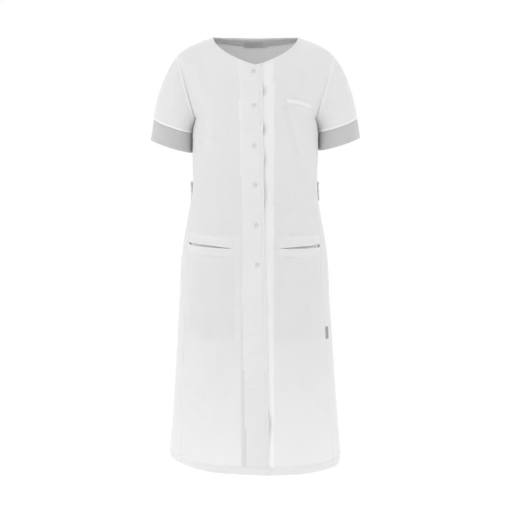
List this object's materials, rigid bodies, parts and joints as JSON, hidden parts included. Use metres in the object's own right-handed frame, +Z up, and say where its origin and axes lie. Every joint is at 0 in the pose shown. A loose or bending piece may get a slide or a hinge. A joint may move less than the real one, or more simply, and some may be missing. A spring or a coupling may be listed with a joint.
{
  "type": "medical tunic",
  "caption": "White knee-length uniform tunic with short sleeves, grey cuffs, a snap front, slit hip pockets and a half belt at the back.",
  "frame": {"origin": "middle of the neck opening, at the height of the wearer's collarbones", "axes": "+Z up, +X to the wearer's left, -Y to the front"},
  "size_m": [0.51, 0.2929, 1.0402],
  "materials": {
    "white_twill": "matt polyester and cotton twill",
    "grey_twill": "matt polyester and cotton twill",
    "woven_label": "satin woven label, bare",
    "snap_cap": "semi-matt snap cap"
  },
  "bodies": {
    "root": {"back": "white_twill", "back_neck_facing": "white_twill", "belt_snap_left": "snap_cap", "belt_snap_right": "snap_cap", "chest_welt": "white_twill", "cuff_left": "grey_twill", "cuff_right": "grey_twill", "front_left": "white_twill", "front_right": "white_twill", "half_belt": "white_twill", "neck_label": "woven_label", "pocket_bag_left": "white_twill", "pocket_bag_right": "white_twill", "side_label": "woven_label", "size_tab": "white_twill", "sleeve_left": "white_twill", "sleeve_right": "white_twill", "snap_1": "snap_cap", "snap_2": "snap_cap", "snap_3": "snap_cap", "snap_4": "snap_cap", "snap_5": "snap_cap", "snap_6": "snap_cap"}
  },
  "joints": []
}
